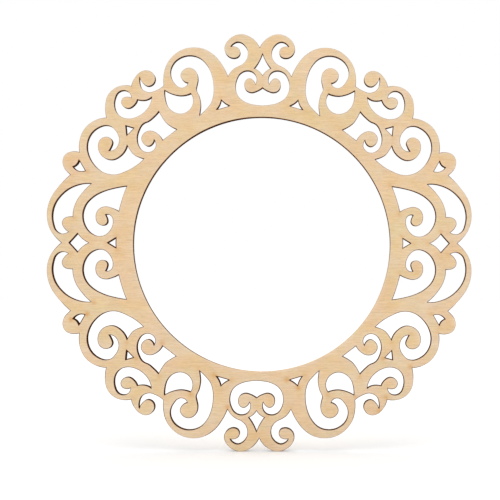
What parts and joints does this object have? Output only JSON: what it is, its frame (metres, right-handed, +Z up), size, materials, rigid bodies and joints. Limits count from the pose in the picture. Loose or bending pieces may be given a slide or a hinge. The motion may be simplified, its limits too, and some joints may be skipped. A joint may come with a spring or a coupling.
{
  "type": "fretwork picture frame",
  "caption": "Flat, nearly round picture frame fretted from thin plywood: pierced scrollwork with a scalloped outer edge round a plain ring and one large picture opening.",
  "frame": {"origin": "middle of the frame's box, halfway through the plywood", "axes": "+X to the right and +Z up as the frame hangs, the front faces -Y and the back +Y"},
  "size_m": [0.3, 0.003, 0.295],
  "materials": {
    "front_veneer": "matte",
    "core_veneer": "matte",
    "back_veneer": "matte"
  },
  "bodies": {
    "root": {"front_veneer": "front_veneer", "core_veneer": "core_veneer", "back_veneer": "back_veneer"}
  },
  "joints": []
}
